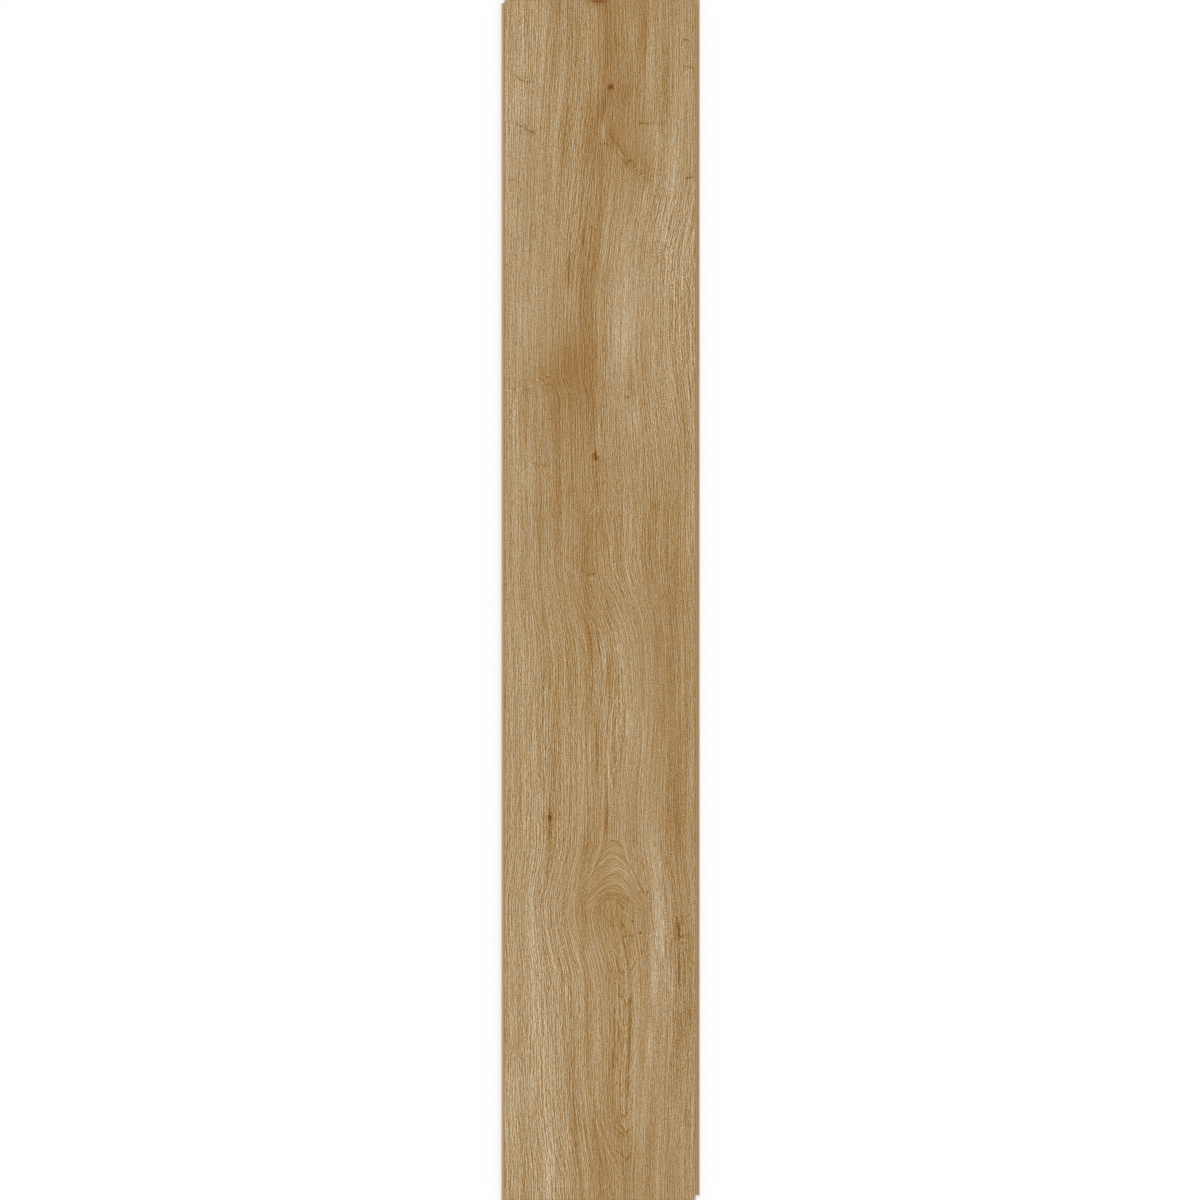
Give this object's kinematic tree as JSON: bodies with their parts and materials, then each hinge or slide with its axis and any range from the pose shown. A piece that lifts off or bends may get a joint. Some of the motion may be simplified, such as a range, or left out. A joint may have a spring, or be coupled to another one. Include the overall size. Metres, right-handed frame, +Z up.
{
  "type": "laminate floor plank",
  "caption": "Flat oak-pattern laminate floor plank with an angle-in locking tongue and groove milled along its long edges and its ends.",
  "frame": {"origin": "middle of the underside, straight below the middle of the patterned face", "axes": "+X across the plank towards its long groove edge, +Y along the plank towards its groove end, +Z up through its thickness to the patterned face"},
  "size_m": [0.1979, 1.2069, 0.008],
  "materials": {
    "oak_laminate": "satin"
  },
  "bodies": {
    "root": {"laminate_plank": "oak_laminate"}
  },
  "joints": []
}
